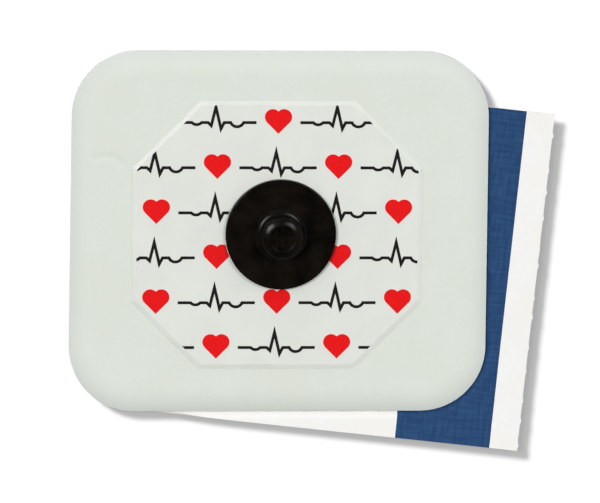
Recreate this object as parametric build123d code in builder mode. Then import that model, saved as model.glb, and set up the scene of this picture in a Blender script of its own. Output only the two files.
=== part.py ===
from build123d import *
import os
from math import cos, radians, sqrt, tan

# A single-use ECG electrode with a snap stud, lying on its paper release liner.
# Millimetres, +Z up. The origin is on the stud's axis, on the surface under the liner.

# Release liner: a printed sheet, torn off a strip along its right edge
liner_width = 37.0
liner_height = 32.9
liner_thickness = 0.2
liner_centre = (6.26, -2.9)
liner_turn = -6.2  # degrees about the stud's axis
tear_slant = 0.74  # degrees that the torn edge is out of square
tear_nib_pitch = 2.5  # ties of the perforation, left on the torn edge
tear_nib_length = 0.6
tear_nib_reach = 0.11
band_width = 9.2
band_margin = 2.67  # bare paper between the band and the torn edge
band_ink_depth = 0.03

# Foam pad: a die-cut sheet with a well for the gel
foam_width = 40.0
foam_height = 34.8
foam_thickness = 1.6
foam_corner_radius = 6.3
foam_edge_round = 0.7
foam_centre = (-0.06, 0.05)

# Gel pad in the well of the foam
gel_diameter = 16.8
gel_clearance = 0.1

# Sensor eyelet: a silver coated disc in the gel, with a stem up into the stud
sensor_diameter = 9.0
sensor_thickness = 0.6
sensor_edge_round = 0.2
sensor_gel_gap = 0.05
stem_diameter = 2.4
stem_length = 2.4  # above the label's underside
stem_clearance = 0.02
stem_end_gap = 0.1

# Label: a printed film with cut corners and a sloped edge, over the well
label_width = 27.75
label_height = 25.85
label_thickness = 0.15
label_corner_cut = 6.45
label_slope_width = 0.4
label_slope_drop = 0.12
label_centre = (-0.3, -0.15)
label_hole_clearance = 0.1

# Print on the label: rows of pulse traces and hearts
print_thickness = 0.02
print_clearance = 0.05  # between the ink and the stud's flange
print_period = 11.6
print_row_pitch = 4.35
heart_width = 2.6
pulse_length = 7.4
pulse_stroke = 0.28
pulse_peak = 1.5
pulse_dip = 0.6
pulse_wave = 0.4

# Snap stud: one moulding of black conductive plastic
flange_diameter = 10.6
flange_thickness = 0.7
flange_rim_round = 0.12
collar_diameter = 5.05
collar_height = 0.4
collar_reach = 0.6  # width of its rounded edge
collar_round = 0.33  # height of its rounded edge
neck_diameter = 3.2
neck_length = 0.95
head_diameter = 3.95
head_flare = 0.25
head_land = 0.83
head_slope = 15.0  # degrees that its shoulder falls towards the edge
head_edge_round = 0.2
recess_diameter = 2.3
recess_depth = 0.5
web_width = 0.5
web_drop = 0.12

# Levels, from the surface upwards
liner_top = liner_thickness
foam_top = liner_top + foam_thickness
label_top = foam_top + label_thickness
flange_top = label_top + flange_thickness
collar_top = flange_top + collar_height
neck_top = collar_top + neck_length
land_bottom = neck_top + head_flare
land_top = land_bottom + head_land
head_top = land_top + (head_diameter - recess_diameter) / 2 * tan(radians(head_slope))

os.makedirs("parts", exist_ok=True)


def finish(builder, name):
    """Label a finished piece and write its STEP file."""
    builder.part.label = name
    export_step(builder.part, f"parts/{name}.step")


def torn_u(v, inset=0.0):
    """Place across the liner, at height v, of the line that runs inset from the torn edge."""
    slant = radians(tear_slant)
    return liner_width / 2 - v * tan(slant) - inset / cos(slant)


# Release liner
liner_base = Plane(Location((*liner_centre, 0), (0, 0, liner_turn)))
tear_middle = Location((torn_u(0), 0, 0), (0, 0, tear_slant))
tear_base = Plane(liner_base.location * tear_middle)
tear_nibs = int((liner_height - 2 * tear_nib_length) / tear_nib_pitch)
low_v = -liner_height / 2
high_v = liner_height / 2

with BuildSketch() as band_outline:
    with BuildLine():
        Polyline(
            (torn_u(low_v, band_margin + band_width), low_v),
            (torn_u(low_v, band_margin), low_v),
            (torn_u(high_v, band_margin), high_v),
            (torn_u(high_v, band_margin + band_width), high_v),
            close=True,
        )
    make_face()

with BuildPart() as release_liner:
    with BuildSketch(liner_base):
        with BuildLine():
            Polyline(
                (-liner_width / 2, low_v),
                (torn_u(low_v), low_v),
                (torn_u(high_v), high_v),
                (-liner_width / 2, high_v),
                close=True,
            )
        make_face()
    extrude(amount=liner_thickness)
    with BuildSketch(tear_base):
        with GridLocations(tear_nib_pitch, tear_nib_pitch, 1, tear_nibs):
            SlotOverall(tear_nib_length, 2 * tear_nib_reach, rotation=90)
    extrude(amount=liner_thickness)
    with BuildSketch(liner_base.offset(liner_thickness)):
        add(band_outline.sketch)
    extrude(amount=-band_ink_depth, mode=Mode.SUBTRACT)
finish(release_liner, "release_liner")

# Printed band, flush with the liner's upper face
with BuildPart() as liner_band:
    with BuildSketch(liner_base.offset(liner_thickness)):
        add(band_outline.sketch)
    extrude(amount=-band_ink_depth)
finish(liner_band, "liner_band")

# Foam pad
with BuildPart() as foam_pad:
    with BuildSketch(Plane.XY.offset(liner_top)):
        with Locations(foam_centre):
            RectangleRounded(foam_width, foam_height, foam_corner_radius)
    extrude(amount=foam_thickness)
    fillet(foam_pad.faces().sort_by(Axis.Z)[-1].edges(), foam_edge_round)
    with BuildSketch(Plane.XY.offset(foam_top)):
        Circle(gel_diameter / 2 + gel_clearance)
    extrude(amount=-foam_thickness, mode=Mode.SUBTRACT)
finish(foam_pad, "foam_pad")

# Gel pad, with a seat for the sensor
with BuildPart() as gel_pad:
    with BuildSketch(Plane.XY.offset(liner_top)):
        Circle(gel_diameter / 2)
    extrude(amount=foam_thickness)
    with BuildSketch(Plane.XY.offset(foam_top)):
        Circle(sensor_diameter / 2 + sensor_gel_gap)
    extrude(amount=-(sensor_thickness + sensor_gel_gap), mode=Mode.SUBTRACT)
finish(gel_pad, "gel_pad")

# Sensor eyelet
with BuildPart() as sensor_eyelet:
    with BuildSketch(Plane.XY.offset(foam_top - sensor_thickness)):
        Circle(sensor_diameter / 2)
    extrude(amount=sensor_thickness)
    fillet(sensor_eyelet.faces().sort_by(Axis.Z)[0].edges(), sensor_edge_round)
    with BuildSketch(Plane.XY.offset(foam_top)):
        Circle(stem_diameter / 2)
    extrude(amount=stem_length)
    fillet(sensor_eyelet.faces().sort_by(Axis.Z)[-1].edges(), sensor_edge_round)
finish(sensor_eyelet, "sensor_eyelet")

# Label
with BuildSketch() as label_outline:
    with Locations(label_centre):
        Rectangle(label_width, label_height)
    chamfer(label_outline.vertices(), label_corner_cut)

with BuildPart() as label:
    with BuildSketch(Plane.XY.offset(foam_top)):
        add(label_outline.sketch)
    extrude(amount=label_thickness)
    label_face = label.faces().sort_by(Axis.Z)[-1]
    chamfer(label_face.edges(), label_slope_width, label_slope_drop, reference=label_face)
    with BuildSketch(Plane.XY.offset(label_top)):
        Circle(stem_diameter / 2 + label_hole_clearance)
    extrude(amount=-label_thickness, mode=Mode.SUBTRACT)
finish(label, "label")

# Print on the flat of the label: rows of hearts and pulses, every other row shifted
with BuildSketch() as print_field:
    add(label_outline.sketch)
    offset(amount=-label_slope_width, kind=Kind.INTERSECTION, mode=Mode.REPLACE)

print_columns = int(label_width / print_period) + 2
print_rows = int(label_height / print_row_pitch) + 1


def print_places(shift):
    """Middles of one motif over the whole label, shifted along its row."""
    places = []
    for row in range(print_rows):
        y = label_centre[1] + (row - (print_rows - 1) / 2) * print_row_pitch
        row_shift = shift + (row % 2) * print_period / 2
        for column in range(print_columns):
            x = label_centre[0] + (column - print_columns / 2) * print_period + row_shift
            places.append((x, y))
    return places


# One heart is a square on its corner with a round on each upper side
heart_side = heart_width / (1 + sqrt(0.5))
heart_lobe = heart_side * sqrt(0.5) / 2

with BuildSketch() as heart:
    Rectangle(heart_side, heart_side, rotation=45)
    with Locations((-heart_lobe, heart_lobe), (heart_lobe, heart_lobe)):
        Circle(heart_side / 2)

# One pulse is a line with a small wave, a spike with a dip each side, and a larger wave
pulse_unit = pulse_length / 12

with BuildSketch() as pulse:
    with BuildLine() as pulse_line:
        Polyline((-6 * pulse_unit, 0), (-4 * pulse_unit, 0))
        SagittaArc((-4 * pulse_unit, 0), (-2.5 * pulse_unit, 0), -pulse_wave / 2)
        Polyline(
            (-2.5 * pulse_unit, 0),
            (-1.5 * pulse_unit, 0),
            (-1 * pulse_unit, -pulse_dip / 2),
            (-0.3 * pulse_unit, pulse_peak),
            (0.5 * pulse_unit, -pulse_dip),
            (1 * pulse_unit, 0),
            (2 * pulse_unit, 0),
        )
        SagittaArc((2 * pulse_unit, 0), (4 * pulse_unit, 0), -pulse_wave)
        Polyline((4 * pulse_unit, 0), (6 * pulse_unit, 0))
    trace(line_width=pulse_stroke)

for motif, shift, name in (
    (pulse, 0.0, "label_pulse_print"),
    (heart, print_period / 2, "label_heart_print"),
):
    with BuildPart() as label_print:
        with BuildSketch(Plane.XY.offset(label_top)):
            with Locations(*print_places(shift)):
                add(motif.sketch)
            add(print_field.sketch, mode=Mode.INTERSECT)
            Circle(flange_diameter / 2 + print_clearance, mode=Mode.SUBTRACT)
        extrude(amount=print_thickness)
    finish(label_print, name)

# Snap stud
with BuildPart() as snap_stud:
    with BuildSketch(Plane.XZ) as stud_outline:
        with BuildLine():
            Polyline(
                (0, label_top),
                (flange_diameter / 2, label_top),
                (flange_diameter / 2, flange_top - flange_rim_round),
            )
            RadiusArc(
                (flange_diameter / 2, flange_top - flange_rim_round),
                (flange_diameter / 2 - flange_rim_round, flange_top),
                -flange_rim_round,
            )
            Polyline(
                (flange_diameter / 2 - flange_rim_round, flange_top),
                (collar_diameter / 2, flange_top),
                (collar_diameter / 2, collar_top - collar_round),
            )
            EllipticalCenterArc(
                (collar_diameter / 2 - collar_reach, collar_top - collar_round),
                collar_reach,
                collar_round,
                start_angle=0,
                arc_size=90,
            )
            Polyline(
                (collar_diameter / 2 - collar_reach, collar_top),
                (neck_diameter / 2, collar_top),
                (neck_diameter / 2, neck_top),
                (head_diameter / 2, land_bottom),
                (head_diameter / 2, land_top),
                (recess_diameter / 2, head_top),
                (0, head_top),
                (0, label_top),
            )
        make_face()
        head_corner = Vertex(head_diameter / 2, land_top, 0)
        fillet(stud_outline.vertices().sort_by_distance(head_corner)[0], head_edge_round)
    revolve(axis=Axis.Z)
    with BuildSketch(Plane.XY.offset(label_top)):
        Circle(stem_diameter / 2 + stem_clearance)
    extrude(amount=stem_length - label_thickness + stem_end_gap, mode=Mode.SUBTRACT)
    with BuildSketch(Plane.XY.offset(head_top)):
        Circle(recess_diameter / 2)
    extrude(amount=-web_drop, mode=Mode.SUBTRACT)
    with BuildSketch(Plane.XY.offset(head_top)):
        Circle(recess_diameter / 2)
        Rectangle(web_width, recess_diameter, mode=Mode.SUBTRACT)
        Rectangle(recess_diameter, web_width, mode=Mode.SUBTRACT)
    extrude(amount=-recess_depth, mode=Mode.SUBTRACT)
finish(snap_stud, "snap_stud")
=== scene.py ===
"""Dress a single-use ECG electrode: foam pad, gel, label, print, snap stud and release liner.

All lengths are metres in the frame of the packed solids: +Z is up, and the origin is on the stud's
axis, on the surface that the liner lies on.
"""

import math
from contextlib import contextmanager

import bmesh
import bpy
from bpy.props import FloatProperty, FloatVectorProperty, IntProperty, PointerProperty
from bpy.types import Operator, Panel, PropertyGroup
from mathutils import Matrix, Vector, noise


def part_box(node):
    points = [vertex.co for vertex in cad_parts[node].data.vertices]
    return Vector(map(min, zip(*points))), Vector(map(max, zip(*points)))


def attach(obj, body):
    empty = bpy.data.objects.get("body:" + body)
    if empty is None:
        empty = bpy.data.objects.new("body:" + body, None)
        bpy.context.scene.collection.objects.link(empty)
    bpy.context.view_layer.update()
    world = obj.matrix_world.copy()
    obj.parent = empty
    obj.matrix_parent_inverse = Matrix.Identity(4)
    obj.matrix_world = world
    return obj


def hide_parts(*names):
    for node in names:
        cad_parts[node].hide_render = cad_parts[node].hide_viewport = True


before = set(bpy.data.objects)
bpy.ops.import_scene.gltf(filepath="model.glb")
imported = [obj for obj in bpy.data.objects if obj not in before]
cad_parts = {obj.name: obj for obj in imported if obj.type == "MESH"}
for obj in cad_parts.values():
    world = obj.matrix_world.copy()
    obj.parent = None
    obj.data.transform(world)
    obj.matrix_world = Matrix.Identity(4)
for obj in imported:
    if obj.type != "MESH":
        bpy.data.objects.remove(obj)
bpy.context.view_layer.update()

bl_info = {
    "name": "ECG electrode",
    "version": (1, 0, 0),
    "blender": (4, 5, 0),
    "location": "View3D > Sidebar > Electrode",
    "description": "Models and finishes the visible pieces of a single-use ECG electrode",
    "category": "Add Mesh",
}

MM = 0.001
BODY = "root"
MERGE_DISTANCE = 0.001 * MM
ROUND_FACETS = 96
HOLE_FACETS = 64


def srgb(red, green, blue):
    """A colour as read off a screen, 0 to 255, as the linear colour that shaders take."""
    def linear(level):
        share = level / 255
        return share / 12.92 if share <= 0.04045 else ((share + 0.055) / 1.055) ** 2.4
    return linear(red), linear(green), linear(blue)


def length(name, description, millimetres):
    """A length that a user may change, given in millimetres and kept in metres."""
    return FloatProperty(name=name, description=description, default=millimetres * MM,
                         min=0.0, unit="LENGTH", precision=5)


def tint(name, description, colour):
    """A colour that a user may change, kept linear."""
    return FloatVectorProperty(name=name, description=description, default=colour,
                               size=3, min=0.0, max=1.0, subtype="COLOR")


def angle(name, description, degrees):
    """An angle that a user may change, given in degrees."""
    return FloatProperty(name=name, description=description, default=math.radians(degrees),
                         subtype="ANGLE")


def level(name, description, value):
    """A plain share or strength that a user may change."""
    return FloatProperty(name=name, description=description, default=value, min=0.0)


class PadSettings(PropertyGroup):
    """Sizes of the soft foam pad and of the gel in its well."""
    corner_radius: length("Corner radius", "Round of the pad's corners, seen from above", 6.3)
    left_lean: angle("Left lean", "How far the pad's left side leans out of square", 0.5)
    edge_reach: length("Edge reach", "How far in from its edge the pad starts to fall", 2.3)
    edge_drop: length("Edge drop", "How far the pad falls to its edge", 0.5)
    wall_draft: length("Wall draft", "How far the die-cut wall leans in towards its top", 0.03)
    gel_clearance: length("Gel clearance", "Gap between the gel and the wall of its well", 0.1)
    gel_round: length("Gel round", "Round of the gel's edges", 0.2)
    ripple_height: length("Ripple height", "Height of the slow waves on the foam", 0.05)
    ripple_size: length("Ripple size", "Length of the slow waves on the foam", 5.0)
    crease_depth: length("Crease depth", "Depth of the faint bent crease by the label", 0.09)
    crease_width: length("Crease width", "Half width of that crease", 0.3)


class LabelSettings(PropertyGroup):
    """Sizes of the label film."""
    corner_cut: length("Corner cut", "Length cut off each side at a corner", 6.45)
    slope_width: length("Slope width", "Width of the slope round the film's edge", 0.4)
    slope_drop: length("Slope drop", "How far the film falls along that slope", 0.12)
    hole_radius: length("Hole radius", "Radius of the hole for the sensor's stem", 1.3)


class LinerSettings(PropertyGroup):
    """Sizes of the paper release liner, in its own turned frame."""
    width: length("Width", "Width of the sheet, halfway up its torn edge", 37.0)
    height: length("Height", "Height of the sheet", 32.9)
    centre_x: FloatProperty(name="Centre X", description="Middle of the sheet along X",
                            default=6.26 * MM, unit="LENGTH")
    centre_y: FloatProperty(name="Centre Y", description="Middle of the sheet along Y",
                            default=-2.9 * MM, unit="LENGTH")
    turn: angle("Turn", "Turn of the sheet about +Z", -6.2)
    tear_slant: angle("Tear slant", "How far the torn edge is out of square", 0.74)
    band_width: length("Band width", "Width of the blue printed band", 9.2)
    band_margin: length("Band margin", "Bare paper between the band and the torn edge", 2.67)
    nib_pitch: length("Nib pitch", "Distance between the torn ties of the perforation", 2.5)
    nib_length: length("Nib length", "Length of one torn tie along the edge", 0.6)
    nib_reach: length("Nib reach", "How far a torn tie stands out", 0.15)
    fray: length("Fray", "Unevenness of the paper along the tear", 0.06)
    lift: length("Lift", "Rise of the free margin just past the pad", 1.0)
    lift_bend: length("Lift bend", "Distance over which the margin rises", 0.16)
    curl: level("Curl", "Further rise for each length that the margin stands out", 0.03)
    cell: length("Cell", "Spacing of the sheet's mesh along the tear", 0.2)


class StudSettings(PropertyGroup):
    """Sizes of the black snap stud, measured up from the label."""
    flange_thickness: length("Flange thickness", "Thickness of the flange", 0.7)
    flange_rim_round: length("Flange rim round", "Round of the flange's upper rim", 0.12)
    collar_diameter: length("Collar diameter", "Diameter of the raised collar", 5.05)
    collar_height: length("Collar height", "Height of the collar over the flange", 0.4)
    collar_reach: length("Collar reach", "Width of the collar's rounded edge", 0.7)
    collar_round: length("Collar round", "Height of the collar's rounded edge", 0.33)
    neck_diameter: length("Neck diameter", "Diameter of the neck under the head", 3.2)
    neck_length: length("Neck length", "Length of the neck", 0.95)
    head_diameter: length("Head diameter", "Diameter of the snap head", 3.95)
    head_flare: length("Head flare", "Height of the slope from neck to head", 0.25)
    head_land: length("Head land", "Height of the head's straight side", 0.83)
    head_slope: angle("Head slope", "Fall of the head's shoulder towards its edge", 15.0)
    head_bulge: angle("Head bulge", "How much steeper or flatter the shoulder is at its ends", 7.0)
    head_edge_round: length("Head edge round", "Round between shoulder and side", 0.2)
    recess_diameter: length("Recess diameter", "Diameter of the recess in the head's top", 2.3)
    recess_depth: length("Recess depth", "Depth of its four pockets", 0.5)
    recess_rim: length("Recess rim", "Round along the recess's rim", 0.11)
    web_width: length("Web width", "Width of the cross web between the pockets", 0.5)
    web_drop: length("Web drop", "How far the web lies under the head's top", 0.16)
    bore_diameter: length("Bore diameter", "Diameter of the blind bore for the stem", 2.44)
    bore_depth: length("Bore depth", "Depth of that bore", 2.35)
    edge_break: length("Edge break", "Small round on every other edge", 0.05)
    facets: IntProperty(name="Facets", description="Facets round the stud", default=128, min=24)


class FinishSettings(PropertyGroup):
    """Colours of the electrode's materials."""
    foam: tint("Foam", "Pale green white of the foam", srgb(225, 231, 224))
    foam_shade: tint("Foam shade", "Warmer tone of the foam's mottling", srgb(222, 226, 215))
    foam_cut: tint("Foam cut", "Whiter foam where it is cut through", srgb(248, 249, 246))
    film: tint("Film", "White of the label", srgb(229, 232, 225))
    red_ink: tint("Red ink", "Red of the hearts", srgb(231, 10, 14))
    black_ink: tint("Black ink", "Black of the pulse traces", srgb(18, 17, 16))
    paper: tint("Paper", "White of the liner", srgb(248, 248, 246))
    paper_back: tint("Paper back", "Uncoated underside of the liner", srgb(232, 229, 222))
    blue_ink: tint("Blue ink", "Blue of the printed band", srgb(32, 66, 109))
    blue_thread: tint("Blue thread", "Lighter grain in the printed band", srgb(45, 80, 123))
    plastic: tint("Plastic", "Black of the stud", srgb(9, 7, 5))
    silver: tint("Silver", "Coat of the sensor", srgb(196, 194, 188))
    gel: tint("Gel", "Clear gel", srgb(206, 222, 218))
    floor: tint("Floor", "Floor under the electrode, in the light of its own lamp", (0.17, 0.17, 0.17))


class StageSettings(PropertyGroup):
    """Light and camera."""
    key_level: level("Key level", "Share of the light from the soft box at the upper left", 0.467)
    key_size: length("Key size", "Side of that soft box", 600.0)
    fill_level: level("Fill level", "Share of the light from the soft box at the upper right", 0.245)
    fill_size: length("Fill size", "Side of that soft box", 520.0)
    back_level: level("Back level", "Share of the light from the low soft box behind", 0.04)
    back_size: length("Back size", "Side of that soft box", 1600.0)
    top_level: level("Top level", "Brightness of the surround overhead", 0.07)
    side_level: level("Side level", "Brightness of the surround halfway up", 0.28)
    low_level: level("Low level", "Brightness of the surround low down", 0.8)
    horizon_level: level("Horizon level", "Brightness of the surround at the horizon", 0.3)
    dim_share: level("Dim share", "Share of its light that the surround's dim side gives", 0.55)
    bright_share: level("Bright share", "Share of its light that the other side gives", 1.15)
    floor_level: level("Floor level", "Light of the lamp that only the floor takes", 3.2)
    floor_glow: level("Floor glow", "Part of the floor's white that is there in shadow too", 0.33)
    lamp_distance: length("Lamp distance", "From each lamp to the electrode", 2400.0)
    camera_distance: length("Camera distance", "From the camera to the point it aims at", 559.7)
    lens: FloatProperty(name="Lens", description="Focal length", default=349.6, unit="CAMERA")
    tilt_x: angle("Tilt X", "Camera turn about X, from straight down", -8.74)
    tilt_y: angle("Tilt Y", "Camera turn about Y, from straight down", -3.92)


SETTINGS = {
    "electrode_pad": PadSettings,
    "electrode_label": LabelSettings,
    "electrode_liner": LinerSettings,
    "electrode_stud": StudSettings,
    "electrode_finish": FinishSettings,
    "electrode_stage": StageSettings,
}


# Modelling helpers

def clear_selection():
    """Leave nothing selected, so that an operator acts on its own piece alone."""
    if bpy.context.object is not None and bpy.context.object.mode != "OBJECT":
        bpy.ops.object.mode_set(mode="OBJECT")
    bpy.ops.object.select_all(action="DESELECT")


def activate(piece):
    """Make one piece the only selected one."""
    clear_selection()
    piece.select_set(True)
    bpy.context.view_layer.objects.active = piece


@contextmanager
def editing(piece):
    """Edit mode on one piece, with all of it selected at the start."""
    activate(piece)
    bpy.ops.object.mode_set(mode="EDIT")
    bpy.ops.mesh.select_all(action="SELECT")
    yield
    bpy.ops.object.mode_set(mode="OBJECT")


def pick(piece, kind, test):
    """In edit mode, select only the faces, edges or vertices that pass a test."""
    bpy.ops.mesh.select_mode(type=kind)
    bpy.ops.mesh.select_all(action="DESELECT")
    mesh = bmesh.from_edit_mesh(piece.data)
    for item in {"FACE": mesh.faces, "EDGE": mesh.edges, "VERT": mesh.verts}[kind]:
        item.select_set(bool(test(item)))
    mesh.select_flush_mode()
    bmesh.update_edit_mesh(piece.data)


def new_piece(name):
    """Name the primitive that was just added, with its place and size in its mesh."""
    piece = bpy.context.object
    piece.name = name
    piece.data.name = name
    bpy.ops.object.transform_apply(location=True, rotation=True, scale=True)
    return piece


def add_plate(name, width, depth, place):
    """A flat rectangle, face up."""
    clear_selection()
    bpy.ops.mesh.primitive_plane_add(size=1, location=place)
    bpy.context.object.scale = (width, depth, 1)
    return new_piece(name)


def add_drum(name, radius, low, high, facets):
    """A closed cylinder about the stud's axis, from one level to another."""
    clear_selection()
    bpy.ops.mesh.primitive_cylinder_add(vertices=facets, radius=radius, depth=high - low,
                                        location=(0, 0, (low + high) / 2))
    return new_piece(name)


def add_block(name, size, place):
    """A closed box about a point."""
    clear_selection()
    bpy.ops.mesh.primitive_cube_add(size=1, location=place)
    bpy.context.object.scale = size
    return new_piece(name)


def apply_modifier(piece, kind, **values):
    """Add one modifier with these values, and apply it."""
    activate(piece)
    modifier = piece.modifiers.new(kind.title(), kind)
    for key, value in values.items():
        setattr(modifier, key, value)
    bpy.ops.object.modifier_apply(modifier=modifier.name)


def cut_away(piece, cutter):
    """Take the cutter's solid out of the piece, and remove the cutter."""
    apply_modifier(piece, "BOOLEAN", operation="DIFFERENCE", solver="EXACT", object=cutter)
    bpy.data.objects.remove(cutter)


def join_on(piece, other):
    """Join the other's solid to the piece, and remove the other."""
    apply_modifier(piece, "BOOLEAN", operation="UNION", solver="EXACT", object=other)
    bpy.data.objects.remove(other)


def break_edges(piece, width, segments=2, sharper_than=30):
    """Round every edge of a piece that bends by more than this, in degrees."""
    apply_modifier(piece, "BEVEL", width=width, segments=segments, limit_method="ANGLE",
                   angle_limit=math.radians(sharper_than))


def weigh(piece, name, weight):
    """Give a new vertex group each vertex's weight, from its place."""
    group = piece.vertex_groups.new(name=name)
    for vertex in piece.data.vertices:
        share = weight(vertex.co)
        if share > 0:
            group.add([vertex.index], min(share, 1.0), "REPLACE")
    return name


def push(piece, group, distance, axis):
    """Move vertices along an axis, by the distance times their weight."""
    apply_modifier(piece, "DISPLACE", direction=axis, strength=distance, mid_level=0.0,
                   vertex_group=group)


def close_and_orient(piece):
    """Merge doubles, fill what is still open, and turn every face outwards."""
    with editing(piece):
        bpy.ops.mesh.remove_doubles(threshold=MERGE_DISTANCE)
        pick(piece, "EDGE", lambda edge: edge.is_boundary)
        bpy.ops.mesh.edge_face_add()
        bpy.ops.mesh.select_all(action="SELECT")
        bpy.ops.mesh.normals_make_consistent(inside=False)


def dress(piece, *materials):
    """Give a piece its materials, in this order."""
    for material in materials:
        piece.data.materials.append(material)


def seat(piece, slot, *nodes, smooth_angle):
    """Smooth a finished piece, and seat it on the frame in place of its solids."""
    activate(piece)
    bpy.ops.object.shade_smooth_by_angle(angle=math.radians(smooth_angle))
    piece.vertex_groups.clear()
    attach(piece, BODY)
    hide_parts(*nodes)


def outside_rounded_box(x, y, middle, half, radius):
    """Distance of a point outside a rectangle with round corners, negative inside it."""
    across = abs(x - middle.x) - (half.x - radius)
    along = abs(y - middle.y) - (half.y - radius)
    corner = math.hypot(max(across, 0), max(along, 0))
    return corner + min(max(across, along), 0) - radius


def bent_edge(reach, drop, steps):
    """Steps in and up of a rim that bends evenly from its edge to the flat."""
    heights = [drop * (1 - (1 - step / steps) ** 2) for step in range(steps + 1)]
    return [(reach / steps, above - below) for below, above in zip(heights, heights[1:])]


def rounded_rim(radius, top, reach, drop, steps):
    """Points (r, z) of a rim that is a quarter of an ellipse, from its side to its top."""
    turns = [math.pi / 2 * step / steps for step in range(steps + 1)]
    return [(radius - reach * (1 - math.cos(turn)), top - drop * (1 - math.sin(turn)))
            for turn in turns]


def eased(share):
    """A share kept from 0 to 1, that starts and ends its rise slowly."""
    share = min(max(share, 0.0), 1.0)
    return share * share * (3 - 2 * share)


def way_to(azimuth, elevation):
    """The way to a place so many degrees round from +X and over the horizon."""
    turn, rise = math.radians(azimuth), math.radians(elevation)
    return Vector((math.cos(turn) * math.cos(rise), math.sin(turn) * math.cos(rise),
                   math.sin(rise)))


# Materials

class Nodes:
    """One tree of nodes, with short calls for those that the finishes and the surround share."""

    def __init__(self, tree, shader):
        self.tree = tree
        self.shader = tree.nodes[shader]

    def add(self, kind, inputs=None, **attributes):
        """A new node, with links or plain values on its inputs."""
        node = self.tree.nodes.new(kind)
        for key, value in attributes.items():
            setattr(node, key, value)
        for key, source in (inputs or {}).items():
            if isinstance(source, bpy.types.NodeSocket):
                self.tree.links.new(source, node.inputs[key])
            else:
                node.inputs[key].default_value = source
        return node

    def feed(self, name, source):
        """Link a source to one of the shader's own sockets."""
        self.tree.links.new(source, self.shader.inputs[name])

    def math(self, operation, first, second):
        """One sum of two numbers."""
        return self.add("ShaderNodeMath", {0: first, 1: second}, operation=operation).outputs[0]

    def span(self, source, given, wanted):
        """A number carried from one range to another, and kept in it."""
        node = self.add("ShaderNodeMapRange", {
            "Value": source, "From Min": given[0], "From Max": given[1],
            "To Min": wanted[0], "To Max": wanted[1]})
        return node.outputs["Result"]


class Finish(Nodes):
    """One new material, whose patterns lie on the piece's own coordinates."""

    # Sockets of a Mix node that carry colours
    MIX_INPUTS = (6, 7)
    MIX_OUTPUT = 2

    def __init__(self, name, roughness, specular=0.5):
        self.material = bpy.data.materials.new(name)
        self.material.use_nodes = True
        super().__init__(self.material.node_tree, "Principled BSDF")
        self.shader.inputs["Roughness"].default_value = roughness
        self.shader.inputs["Specular IOR Level"].default_value = specular
        self.place = self.add("ShaderNodeTexCoord").outputs["Object"]

    def noise(self, size, detail=2.0, vector=None):
        """Soft noise whose features are about this size."""
        node = self.add("ShaderNodeTexNoise", {
            "Vector": vector or self.place, "Scale": 1 / size, "Detail": detail})
        return node.outputs["Fac"]

    def cells(self, size):
        """Distance to the middle of the nearest cell."""
        node = self.add("ShaderNodeTexVoronoi", {"Vector": self.place, "Scale": 1 / size})
        return node.outputs["Distance"]

    def cross_grain(self, size, detail, turn, along, across):
        """Noise drawn out both ways over a sheet that is turned about +Z."""
        ways = []
        for stretch in ((along, across, 1), (across, along, 1)):
            drawn = self.add("ShaderNodeMapping", {
                "Vector": self.place, "Rotation": (0, 0, turn), "Scale": stretch},
                vector_type="TEXTURE")
            ways.append(self.noise(size, detail, drawn.outputs["Vector"]))
        return self.math("MULTIPLY", self.math("ADD", *ways), 0.5)

    def mix(self, share, first, second):
        """One colour blended into another."""
        inputs = {0: share}
        for index, colour in zip(self.MIX_INPUTS, (first, second)):
            is_link = isinstance(colour, bpy.types.NodeSocket)
            inputs[index] = colour if is_link else (*colour, 1)
        return self.add("ShaderNodeMix", inputs, data_type="RGBA").outputs[self.MIX_OUTPUT]

    def paint(self, share, first, second):
        """Colour the piece with one tone blended into another."""
        self.feed("Base Color", self.mix(share, first, second))

    def relief(self, height, depth, strength=1.0):
        """Fine relief of this depth on the surface."""
        node = self.add("ShaderNodeBump", {
            "Height": height, "Distance": depth, "Strength": strength})
        self.feed("Normal", node.outputs["Normal"])


def toned(colour, share):
    """A colour made darker or lighter by a share."""
    return tuple(share * part for part in colour)


def foam_finish(colours):
    """Closed cell foam: faint mottling, a painted shade on the rim where the top bends down, whiter
    open cells on its cut wall.
    """
    finish = Finish("pad_foam", roughness=0.85, specular=0.25)
    mottle = finish.span(finish.noise(4 * MM, detail=4.0), (0.35, 0.65), (0.0, 0.6))
    base = finish.mix(mottle, colours.foam, colours.foam_shade)
    cell = finish.cells(0.3 * MM)
    skin = finish.mix(finish.span(cell, (0.1, 0.7), (0.0, 0.35)), base, colours.foam_shade)
    normal = finish.add("ShaderNodeNewGeometry").outputs["Normal"]
    facing = finish.add("ShaderNodeSeparateXYZ", {0: normal}).outputs["Z"]
    # Painted shade: the foam's colour is darkened where its top tilts down towards the edge, standing
    # in for light falling off there
    painted_rim_shade = finish.span(facing, (0.925, 0.99), (1.0, 0.0))
    top = finish.mix(painted_rim_shade, skin, toned(colours.foam, 0.915))
    finish.paint(finish.span(facing, (0.3, 0.8), (0.0, 1.0)), colours.foam_cut, top)
    openness = finish.span(facing, (0.2, 0.9), (1.0, 0.25))
    finish.relief(finish.math("ADD", cell, finish.noise(0.12 * MM)), 0.02 * MM, openness)
    return finish.material


def film_finish(colours):
    """Satin white film that shows a little of the foam's waves."""
    finish = Finish("label_film", roughness=0.45, specular=0.3)
    grain = finish.noise(0.25 * MM, detail=3.0)
    wave = finish.noise(3 * MM)
    hollow = finish.span(wave, (0.3, 0.7), (0.0, 1.0))
    finish.paint(hollow, colours.film, toned(colours.film, 0.96))
    finish.feed("Roughness", finish.span(grain, (0.3, 0.7), (0.4, 0.5)))
    finish.relief(finish.math("ADD", wave, finish.math("MULTIPLY", grain, 0.15)), 0.03 * MM)
    return finish.material


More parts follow.
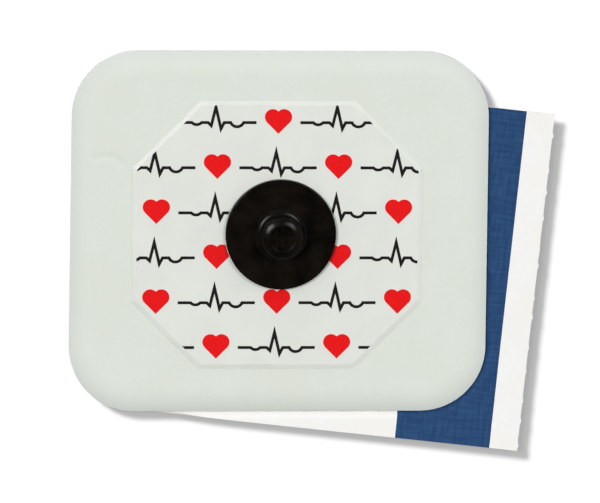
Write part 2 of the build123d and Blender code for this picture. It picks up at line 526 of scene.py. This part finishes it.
def ink_finish(name, colour):
    """Printing ink, slightly uneven in density."""
    finish = Finish(name, roughness=0.5, specular=0.12)
    density = finish.span(finish.noise(0.35 * MM, detail=3.0), (0.3, 0.7), (0.0, 1.0))
    thin = tuple(part * 1.06 + 0.002 for part in colour)
    finish.paint(density, colour, thin)
    finish.feed("Roughness", finish.span(density, (0.0, 1.0), (0.45, 0.6)))
    return finish.material


def paper_finish(name, colour, turn, roughness):
    """White paper with fine fibres and faint warm patches."""
    finish = Finish(name, roughness=roughness, specular=0.4)
    fibres = finish.cross_grain(0.3 * MM, 3.0, turn, along=3, across=0.6)
    warm = (0.99 * colour[0], 0.965 * colour[1], 0.925 * colour[2])
    patches = finish.span(finish.noise(3 * MM), (0.4, 0.65), (0.0, 1.0))
    ground = finish.mix(patches, colour, warm)
    finish.paint(finish.span(fibres, (0.4, 0.6), (0.0, 1.0)), ground, toned(colour, 0.975))
    finish.relief(fibres, 0.008 * MM)
    return finish.material


def band_finish(colours, turn):
    """Blue print with the uneven cross grain of woven cloth."""
    finish = Finish("blue_ink", roughness=0.6, specular=0.1)
    weave = finish.cross_grain(0.3 * MM, 2.0, turn, along=9, across=0.9)
    threads = finish.span(weave, (0.4, 0.62), (0.0, 1.0))
    finish.paint(threads, colours.blue_ink, colours.blue_thread)
    finish.relief(weave, 0.012 * MM)
    return finish.material


def plastic_finish(colours):
    """Black carbon filled plastic with a satin moulded skin."""
    finish = Finish("stud_plastic", roughness=0.2, specular=0.085)
    skin = finish.noise(0.3 * MM, detail=4.0)
    worn = finish.span(finish.noise(2 * MM, detail=3.0), (0.35, 0.7), (0.0, 1.0))
    finish.paint(worn, colours.plastic, toned(colours.plastic, 3.2))
    finish.feed("Roughness", finish.span(skin, (0.3, 0.7), (0.17, 0.23)))
    finish.relief(skin, 0.004 * MM)
    return finish.material


def silver_finish(colours):
    """Matt silver and silver chloride coat, a little blotchy."""
    finish = Finish("silver_coat", roughness=0.5)
    finish.shader.inputs["Metallic"].default_value = 0.6
    blotches = finish.span(finish.noise(0.6 * MM, detail=4.0), (0.4, 0.65), (0.0, 1.0))
    finish.paint(blotches, colours.silver, toned(colours.silver, 0.7))
    return finish.material


def gel_finish(colours):
    """Clear tacky gel, a little cloudy."""
    finish = Finish("clear_gel", roughness=0.15)
    finish.shader.inputs["Transmission Weight"].default_value = 0.6
    finish.shader.inputs["IOR"].default_value = 1.38
    finish.paint(finish.noise(2 * MM, detail=3.0), colours.gel, toned(colours.gel, 0.85))
    finish.relief(finish.noise(1.2 * MM), 0.03 * MM)
    return finish.material


def floor_finish(colours, glow):
    """Plain pale floor, part of whose white is there in shadow too."""
    finish = Finish("floor", roughness=0.9, specular=0.0)
    finish.paint(finish.noise(60 * MM), colours.floor, toned(colours.floor, 0.99))
    rays = finish.add("ShaderNodeLightPath").outputs
    seen = finish.math("MAXIMUM", rays["Is Camera Ray"], rays["Is Glossy Ray"])
    seen = finish.math("MAXIMUM", seen, rays["Is Transmission Ray"])
    finish.shader.inputs["Emission Color"].default_value = (1, 1, 1, 1)
    finish.feed("Emission Strength", finish.math("MULTIPLY", seen, glow))
    return finish.material


# Operators, one for each piece or group of like pieces

class ELECTRODE_OT_foam_pad(Operator):
    """Model the die-cut foam pad with its round edge, slow waves and gel well"""
    bl_idname = "electrode.foam_pad"
    bl_label = "Foam pad"

    CORNER_STEPS = 24
    EDGE_STEPS = 16
    WALL_STEPS = 3
    RING = 0.3 * MM
    SKIN_DEPTH = 0.1 * MM
    CREASE_CENTRE = Vector((-16.8 * MM, 5.3 * MM))
    CREASE_RADIUS = 2.1 * MM
    CREASE_START = math.radians(-30)
    CREASE_END = math.radians(125)

    def execute(self, context):
        sizes = context.scene.electrode_pad
        low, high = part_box("foam_pad")
        pad = self.outline(sizes, low, high)
        self.raise_rings(pad, sizes, low, high)
        close_and_orient(pad)
        gel_low, gel_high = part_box("gel_pad")
        well = (gel_high.x - gel_low.x) / 2 + sizes.gel_clearance
        cut_away(pad, add_drum("well_cutter", well, low.z - MM, high.z + MM, ROUND_FACETS))
        self.wave(pad, sizes, low, high)
        dress(pad, foam_finish(context.scene.electrode_finish))
        seat(pad, "pad_foam", "foam_pad", smooth_angle=40)
        return {"FINISHED"}

    def outline(self, sizes, low, high):
        """The pad's outline as one face, with a leaning left side and points close together."""
        middle, size = (low + high) / 2, high - low
        pad = add_plate("foam_pad_soft", size.x, size.y, (middle.x, middle.y, low.z))
        shift = size.y / 2 * math.tan(sizes.left_lean)
        with editing(pad):
            for side in (-1, 1):
                pick(pad, "VERT", lambda vertex: vertex.co.x < middle.x
                     and side * (vertex.co.y - middle.y) > 0)
                bpy.ops.transform.translate(value=(side * shift, 0, 0))
            bpy.ops.mesh.select_all(action="SELECT")
            bpy.ops.mesh.bevel(offset=sizes.corner_radius, offset_type="OFFSET",
                               affect="VERTICES", segments=self.CORNER_STEPS, profile=0.5)
            pick(pad, "EDGE", lambda edge: edge.calc_length() > sizes.corner_radius)
            straight = size.x - 2 * sizes.corner_radius
            bpy.ops.mesh.subdivide(number_cuts=int(straight / self.RING) - 1)
        return pad

    def raise_rings(self, pad, sizes, low, high):
        """Raise the wall, the round edge and the flat top as rings inside each other."""
        wall = high.z - low.z - sizes.edge_drop
        rings = [(sizes.wall_draft / self.WALL_STEPS, wall / self.WALL_STEPS)] * self.WALL_STEPS
        rings += bent_edge(sizes.edge_reach, sizes.edge_drop, self.EDGE_STEPS)
        flat = sizes.corner_radius - sizes.edge_reach - sizes.wall_draft - self.RING
        rings += [(self.RING, 0.0)] * int(flat / self.RING)
        with editing(pad):
            for inwards, upwards in rings:
                bpy.ops.mesh.inset(thickness=inwards, depth=upwards, use_even_offset=True)

    def wave(self, pad, sizes, low, high):
        """Slow waves all over the top that fade out towards its edge, and one faint bent crease."""
        middle, half = (low + high) / 2, (high - low) / 2
        skin = high.z - sizes.edge_drop - self.SKIN_DEPTH

        def ripple(place):
            if place.z < skin:
                return 0.0
            inside = -outside_rounded_box(place.x, place.y, middle, half, sizes.corner_radius)
            height = 0.5 + 0.5 * noise.noise(Vector((place.x, place.y, 0)) / sizes.ripple_size)
            return height * eased(inside / (2 * sizes.edge_reach))

        def crease(place):
            if place.z < skin:
                return 0.0
            arm = Vector((place.x, place.y)) - self.CREASE_CENTRE
            turn = math.atan2(arm.y, arm.x)
            if not self.CREASE_START < turn < self.CREASE_END:
                return 0.0
            off = (arm.length - self.CREASE_RADIUS) / sizes.crease_width
            return math.exp(-off * off)

        push(pad, weigh(pad, "ripple", ripple), -sizes.ripple_height, "Z")
        push(pad, weigh(pad, "crease", crease), -sizes.crease_depth, "Z")


class ELECTRODE_OT_gel_pad(Operator):
    """Model the round gel pad with the hollow that the sensor lies in"""
    bl_idname = "electrode.gel_pad"
    bl_label = "Gel pad"

    def execute(self, context):
        sizes = context.scene.electrode_pad
        low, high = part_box("gel_pad")
        sensor_low, sensor_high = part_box("sensor_eyelet")
        gel = add_drum("gel_pad_clear", (high.x - low.x) / 2, low.z, high.z, ROUND_FACETS)
        hollow = (sensor_high.x - sensor_low.x) / 2 + sizes.gel_clearance / 2
        hollow_floor = sensor_low.z - sizes.gel_clearance / 2
        cut_away(gel, add_drum("hollow_cutter", hollow, hollow_floor, high.z + MM, ROUND_FACETS))
        break_edges(gel, sizes.gel_round, segments=3, sharper_than=40)
        dress(gel, gel_finish(context.scene.electrode_finish))
        seat(gel, "clear_gel", "gel_pad", smooth_angle=40)
        return {"FINISHED"}


class ELECTRODE_OT_release_liner(Operator):
    """Model the paper liner with its torn edge, blue band and lifted margin"""
    bl_idname = "electrode.release_liner"
    bl_label = "Release liner"

    CROSS_CELLS = 200
    SPARE = 2 * MM
    CUT_TOLERANCE = 0.0001 * MM
    TEAR_TOLERANCE = 0.01 * MM
    FIBRE_SIZE = 0.5 * MM
    NIB_SPREAD = 0.4
    NIB_SEED = 0.3

    def execute(self, context):
        sizes = context.scene.electrode_liner
        low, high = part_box("release_liner")
        sheet = self.cut_sheet(sizes)
        self.fray_tear(sheet, sizes)
        activate(sheet)
        sheet.rotation_euler.z = sizes.turn
        sheet.location = (sizes.centre_x, sizes.centre_y, low.z)
        bpy.ops.object.transform_apply(location=True, rotation=True, scale=True)
        self.lift_margin(sheet, sizes, context.scene.electrode_pad)
        colours = context.scene.electrode_finish
        face = paper_finish("liner_paper", colours.paper, sizes.turn, roughness=0.5)
        back = paper_finish("liner_back", colours.paper_back, sizes.turn, roughness=0.8)
        dress(sheet, face, band_finish(colours, sizes.turn), back, back)
        apply_modifier(sheet, "SOLIDIFY", thickness=high.z - low.z, offset=1.0,
                       material_offset=2, material_offset_rim=2)
        seat(sheet, "liner_paper", "release_liner", "liner_band", smooth_angle=30)
        return {"FINISHED"}

    def tear_line(self, sizes, inset):
        """A point on the line that runs inset from the torn edge, and its outward normal."""
        normal = Vector((math.cos(sizes.tear_slant), math.sin(sizes.tear_slant), 0))
        return Vector((sizes.width / 2, 0, 0)) - inset * normal, normal

    def inset_of(self, place, sizes):
        """How far a point lies in from the torn edge."""
        start, normal = self.tear_line(sizes, 0.0)
        return (start - place).dot(normal)

    def cut_sheet(self, sizes):
        """A fine flat sheet, cut along the tear, with lines along both sides of the band."""
        clear_selection()
        rows = int(sizes.height / sizes.cell)
        bpy.ops.mesh.primitive_grid_add(x_subdivisions=self.CROSS_CELLS, y_subdivisions=rows, size=1)
        sheet = bpy.context.object
        sheet.scale = (sizes.width + self.SPARE, sizes.height, 1)
        sheet.location.x = self.SPARE / 2
        new_piece("release_liner_paper")
        inner = sizes.band_margin + sizes.band_width
        with editing(sheet):
            for inset, trims in ((0.0, True), (sizes.band_margin, False), (inner, False)):
                bpy.ops.mesh.select_all(action="SELECT")
                point, normal = self.tear_line(sizes, inset)
                bpy.ops.mesh.bisect(plane_co=point, plane_no=normal, clear_outer=trims,
                                    threshold=self.CUT_TOLERANCE)
        for face in sheet.data.polygons:
            inset = self.inset_of(face.center, sizes)
            face.material_index = int(sizes.band_margin < inset < inner)
        return sheet

    def fray_tear(self, sheet, sizes):
        """Leave torn ties and loose fibres along the tear."""
        def torn(place):
            if self.inset_of(place, sizes) > self.TEAR_TOLERANCE:
                return 0.0
            count = math.floor(place.y / sizes.nib_pitch)
            chance = noise.noise(Vector((count + 0.5, self.NIB_SEED, 0)))
            middle = (count + 0.5 + self.NIB_SPREAD * chance) * sizes.nib_pitch
            off = (place.y - middle) / (sizes.nib_length / 2)
            reach = sizes.nib_reach * (1 - self.NIB_SPREAD + self.NIB_SPREAD * chance)
            nib = reach * max(0.0, 1 - off ** 2)
            fibre = noise.noise(Vector((0, place.y / self.FIBRE_SIZE, 0)))
            return (nib + sizes.fray * (0.5 + 0.5 * fibre)) / (sizes.nib_reach + sizes.fray)

        push(sheet, weigh(sheet, "torn", torn), sizes.nib_reach + sizes.fray, "X")

    def lift_margin(self, sheet, sizes, pad):
        """Let the paper rise close past the pad's edge, and curl a little further out."""
        low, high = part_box("foam_pad")
        middle, half = (low + high) / 2, (high - low) / 2

        def rise(place):
            free = max(outside_rounded_box(place.x, place.y, middle, half, pad.corner_radius), 0)
            return sizes.lift * (1 - math.exp(-free / sizes.lift_bend)) + sizes.curl * free

        most = max(rise(vertex.co) for vertex in sheet.data.vertices)
        push(sheet, weigh(sheet, "lift", lambda place: rise(place) / most), most, "Z")


class ELECTRODE_OT_label(Operator):
    """Model the eight-sided label film and ink its print"""
    bl_idname = "electrode.label"
    bl_label = "Label and print"

    def execute(self, context):
        sizes = context.scene.electrode_label
        colours = context.scene.electrode_finish
        low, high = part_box("label")
        middle = (low + high) / 2
        film = add_plate("label_film", high.x - low.x, high.y - low.y, (middle.x, middle.y, low.z))
        with editing(film):
            bpy.ops.mesh.bevel(offset=sizes.corner_cut, offset_type="OFFSET",
                               affect="VERTICES", segments=1)
            rim = high.z - low.z - sizes.slope_drop
            for inwards, upwards in ((0.0, rim), (sizes.slope_width, sizes.slope_drop)):
                bpy.ops.mesh.inset(thickness=inwards, depth=upwards, use_even_offset=True)
        close_and_orient(film)
        hole = add_drum("hole_cutter", sizes.hole_radius, low.z - MM, high.z + MM, HOLE_FACETS)
        cut_away(film, hole)
        dress(film, film_finish(colours))
        seat(film, "label_film", "label", smooth_angle=10)
        for node, colour in (("label_pulse_print", colours.black_ink),
                             ("label_heart_print", colours.red_ink)):
            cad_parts[node].material_slots[0].material = ink_finish(node, colour)
        return {"FINISHED"}


class ELECTRODE_OT_snap_stud(Operator):
    """Turn the black snap stud with its flange, collar, neck, head and recess"""
    bl_idname = "electrode.snap_stud"
    bl_label = "Snap stud"

    ROUND_STEPS = 12
    FLAT_EDGE = 0.1 * MM

    def execute(self, context):
        sizes = context.scene.electrode_stud
        low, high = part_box("snap_stud")
        section = self.section(sizes, (high.x - low.x) / 2, low.z)
        stud = self.turn(section, sizes.facets)
        bore, bore_top = sizes.bore_diameter / 2, low.z + sizes.bore_depth
        cut_away(stud, add_drum("bore_cutter", bore, low.z - MM, bore_top, HOLE_FACETS))
        break_edges(stud, sizes.edge_break)
        recess_floor = section[-1][1]
        self.add_web(stud, sizes, recess_floor)
        dress(stud, plastic_finish(context.scene.electrode_finish))
        seat(stud, "stud_plastic", "snap_stud", smooth_angle=20)
        return {"FINISHED"}

    def section(self, sizes, flange, bottom):
        """Points (r, z) of the stud's profile, from the flange's underside to the recess's floor."""
        flange_top = bottom + sizes.flange_thickness
        collar, collar_top = sizes.collar_diameter / 2, flange_top + sizes.collar_height
        neck, neck_top = sizes.neck_diameter / 2, collar_top + sizes.neck_length
        head, land_low = sizes.head_diameter / 2, neck_top + sizes.head_flare
        rim = sizes.flange_rim_round
        points = [(flange, bottom)]
        points += rounded_rim(flange, flange_top, rim, rim, self.ROUND_STEPS)
        points += [(flange - rim - self.FLAT_EDGE, flange_top), (collar + self.FLAT_EDGE, flange_top)]
        points.append((collar, flange_top))
        points += rounded_rim(collar, collar_top, sizes.collar_reach, sizes.collar_round,
                              self.ROUND_STEPS)
        points += [(neck, collar_top), (neck, neck_top), (head, land_low)]
        self.add_shoulder(points, sizes, head, land_low + sizes.head_land)
        return points

    def bend(self, points, radius, first, last):
        """Carry points (r, z) on along part of a circle, from one facing to another."""
        middle = points[-1][0] - radius * math.cos(first)
        height = points[-1][1] - radius * math.sin(first)
        for step in range(1, self.ROUND_STEPS + 1):
            facing = first + (last - first) * step / self.ROUND_STEPS
            points.append((middle + radius * math.cos(facing), height + radius * math.sin(facing)))

    def add_shoulder(self, points, sizes, head, corner_level):
        """Carry points (r, z) on over the head's edge, up its shoulder and round into the recess."""
        slope, edge, rim = sizes.head_slope, sizes.head_edge_round, sizes.recess_rim
        wall = sizes.recess_diameter / 2
        foot = math.pi / 2 - slope - sizes.head_bulge
        crest = math.pi / 2 - slope + sizes.head_bulge
        points.append((head, corner_level - edge * math.tan((math.pi / 2 - slope) / 2)))
        self.bend(points, edge, 0, foot)
        run = points[-1][0] - wall - rim * (1 + math.cos(crest))
        self.bend(points, run / (math.cos(foot) - math.cos(crest)), foot, crest)
        self.bend(points, rim, crest, math.pi)
        floor = corner_level + (head - wall) * math.tan(slope) - sizes.recess_depth
        points += [(wall, floor), (wall - self.FLAT_EDGE, floor)]

    def turn(self, section, facets):
        """Extrude a round face from ring to ring up the section."""
        clear_selection()
        radius, height = section[0]
        bpy.ops.mesh.primitive_circle_add(vertices=facets, radius=radius, fill_type="NGON",
                                          location=(0, 0, height))
        stud = new_piece("snap_stud_moulding")
        with editing(stud):
            for next_radius, next_height in section[1:]:
                rise = next_height - height
                bpy.ops.mesh.extrude_region_move(TRANSFORM_OT_translate={"value": (0, 0, rise)})
                share = next_radius / radius
                bpy.ops.transform.resize(value=(share, share, 1),
                                         center_override=(0, 0, next_height))
                radius, height = next_radius, next_height
        close_and_orient(stud)
        return stud

    def add_web(self, stud, sizes, floor):
        """Join two crossed bars to the recess, with their ends and feet sunk in its wall and floor."""
        reach = sizes.recess_diameter + 2 * self.FLAT_EDGE
        foot = floor - self.FLAT_EDGE
        web_top = floor + sizes.recess_depth - sizes.web_drop
        for across, along in ((reach, sizes.web_width), (sizes.web_width, reach)):
            bar = add_block("web", (across, along, web_top - foot), (0, 0, (foot + web_top) / 2))
            break_edges(bar, sizes.edge_break)
            join_on(stud, bar)


class ELECTRODE_OT_sensor(Operator):
    """Coat the sensor eyelet whose stem goes up into the stud"""
    bl_idname = "electrode.sensor"
    bl_label = "Sensor eyelet"

    def execute(self, context):
        coat = silver_finish(context.scene.electrode_finish)
        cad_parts["sensor_eyelet"].material_slots[0].material = coat
        return {"FINISHED"}


class ELECTRODE_OT_stage(Operator):
    """Set the floor, the soft light and the camera"""
    bl_idname = "electrode.stage"
    bl_label = "Stage"

    FLOOR_SIZE = 4.0
    FLOOR_DROP = 0.2 * MM
    AIM = Vector((2.02 * MM, -2.01 * MM, 0))
    FLOOR_LAMP_WIDTH = math.radians(14)
    SKY_HEIGHTS = (0.08, 0.18, 0.62, 0.93)

    # Azimuth and elevation of each lamp and of the surround's bright side, in degrees
    KEY = (150, 66)
    FILL = (39, 66)
    BACK = (100, 38)
    FLOOR_LAMP = (136, 42)
    BRIGHT_SIDE = (45, 0)

    def execute(self, context):
        stage = context.scene.electrode_stage
        floor = add_plate("floor", self.FLOOR_SIZE, self.FLOOR_SIZE, (0, 0, -self.FLOOR_DROP))
        dress(floor, floor_finish(context.scene.electrode_finish, stage.floor_glow))
        distance = stage.lamp_distance
        self.soft_box("key_light", stage.key_level, stage.key_size, distance, *self.KEY)
        self.soft_box("fill_light", stage.fill_level, stage.fill_size, distance, *self.FILL)
        self.soft_box("back_light", stage.back_level, stage.back_size, distance, *self.BACK)
        self.floor_lamp(floor, stage)
        self.sky(context.scene, stage)
        self.camera(context.scene, stage)
        context.scene.view_settings.view_transform = "Standard"
        return {"FINISHED"}

    def hang(self, name, lamp, azimuth, elevation, distance):
        """Hang a lamp that way from the origin, so that it shines on it."""
        way = way_to(azimuth, elevation)
        holder = bpy.data.objects.new(name, lamp)
        holder.location = way * distance
        holder.rotation_euler = way.to_track_quat("Z", "Y").to_euler()
        bpy.context.scene.collection.objects.link(holder)
        return holder

    def soft_box(self, name, share, size, distance, azimuth, elevation):
        """A square soft box that lights a level white surface to this share of white."""
        lamp = bpy.data.lights.new(name, "AREA")
        lamp.size = size
        lamp.energy = share * (math.pi * distance) ** 2 / math.sin(math.radians(elevation))
        self.hang(name, lamp, azimuth, elevation, distance)

    def floor_lamp(self, floor, stage):
        """A wide far lamp that lights the floor alone, where the electrode stands in its way."""
        azimuth, elevation = self.FLOOR_LAMP
        lamp = bpy.data.lights.new("floor_light", "SUN")
        lamp.angle = self.FLOOR_LAMP_WIDTH
        lamp.energy = stage.floor_level * math.pi / math.sin(math.radians(elevation))
        holder = self.hang("floor_light", lamp, azimuth, elevation, stage.lamp_distance)
        taker = bpy.data.collections.new("lit_by_floor_light")
        taker.objects.link(floor)
        holder.light_linking.receiver_collection = taker

    def sky(self, scene, stage):
        """A white surround, brighter towards the horizon and towards one side."""
        world = bpy.data.worlds.new("surround")
        world.use_nodes = True
        scene.world = world
        surround = Nodes(world.node_tree, "Background")
        way = surround.add("ShaderNodeTexCoord").outputs["Generated"]
        rise = surround.add("ShaderNodeSeparateXYZ", {0: way}).outputs["Z"]
        ramp = surround.add("ShaderNodeValToRGB", {"Fac": rise})
        stops = ramp.color_ramp.elements
        while len(stops) < len(self.SKY_HEIGHTS):
            stops.new(0.5)
        levels = (stage.horizon_level, stage.low_level, stage.side_level, stage.top_level)
        for stop, height, brightness in zip(stops, self.SKY_HEIGHTS, levels):
            stop.position = height
            stop.color = (brightness, brightness, brightness, 1)
        surround.feed("Color", ramp.outputs["Color"])
        side = surround.add("ShaderNodeVectorMath", {0: way, 1: way_to(*self.BRIGHT_SIDE)},
                            operation="DOT_PRODUCT").outputs["Value"]
        shares = (stage.dim_share, stage.bright_share)
        surround.feed("Strength", surround.span(side, (-1, 1), shares))

    def camera(self, scene, stage):
        """A long lens that looks down from a little past the upper left of straight above."""
        tilt = Matrix.Rotation(stage.tilt_x, 3, "X") @ Matrix.Rotation(stage.tilt_y, 3, "Y")
        camera = bpy.data.cameras.new("camera")
        camera.lens = stage.lens
        holder = bpy.data.objects.new("camera", camera)
        holder.location = self.AIM + tilt @ Vector((0, 0, stage.camera_distance))
        holder.rotation_euler = tilt.to_euler()
        scene.collection.objects.link(holder)
        scene.camera = holder


class ELECTRODE_PT_sidebar(Panel):
    """List the electrode's operators and settings in the sidebar"""
    bl_idname = "ELECTRODE_PT_sidebar"
    bl_label = "ECG electrode"
    bl_space_type = "VIEW_3D"
    bl_region_type = "UI"
    bl_category = "Electrode"

    def draw(self, context):
        for operator in OPERATORS:
            self.layout.operator(operator.bl_idname)
        for name, group in SETTINGS.items():
            box = self.layout.box()
            box.label(text=group.__doc__)
            for key in group.__annotations__:
                box.prop(getattr(context.scene, name), key)


OPERATORS = (
    ELECTRODE_OT_release_liner,
    ELECTRODE_OT_foam_pad,
    ELECTRODE_OT_gel_pad,
    ELECTRODE_OT_sensor,
    ELECTRODE_OT_label,
    ELECTRODE_OT_snap_stud,
    ELECTRODE_OT_stage,
)
CLASSES = (*SETTINGS.values(), *OPERATORS, ELECTRODE_PT_sidebar)


def register():
    """Add the settings, the operators and the panel to Blender."""
    for each in CLASSES:
        bpy.utils.register_class(each)
    for name, group in SETTINGS.items():
        setattr(bpy.types.Scene, name, PointerProperty(type=group))


def unregister():
    """Take the panel, the operators and the settings out again."""
    for name in SETTINGS:
        delattr(bpy.types.Scene, name)
    for each in reversed(CLASSES):
        bpy.utils.unregister_class(each)


def main():
    """Build the dressed electrode."""
    register()
    bpy.ops.electrode.release_liner()
    bpy.ops.electrode.foam_pad()
    bpy.ops.electrode.gel_pad()
    bpy.ops.electrode.sensor()
    bpy.ops.electrode.label()
    bpy.ops.electrode.snap_stud()
    bpy.ops.electrode.stage()


if __name__ == "__main__":
    main()
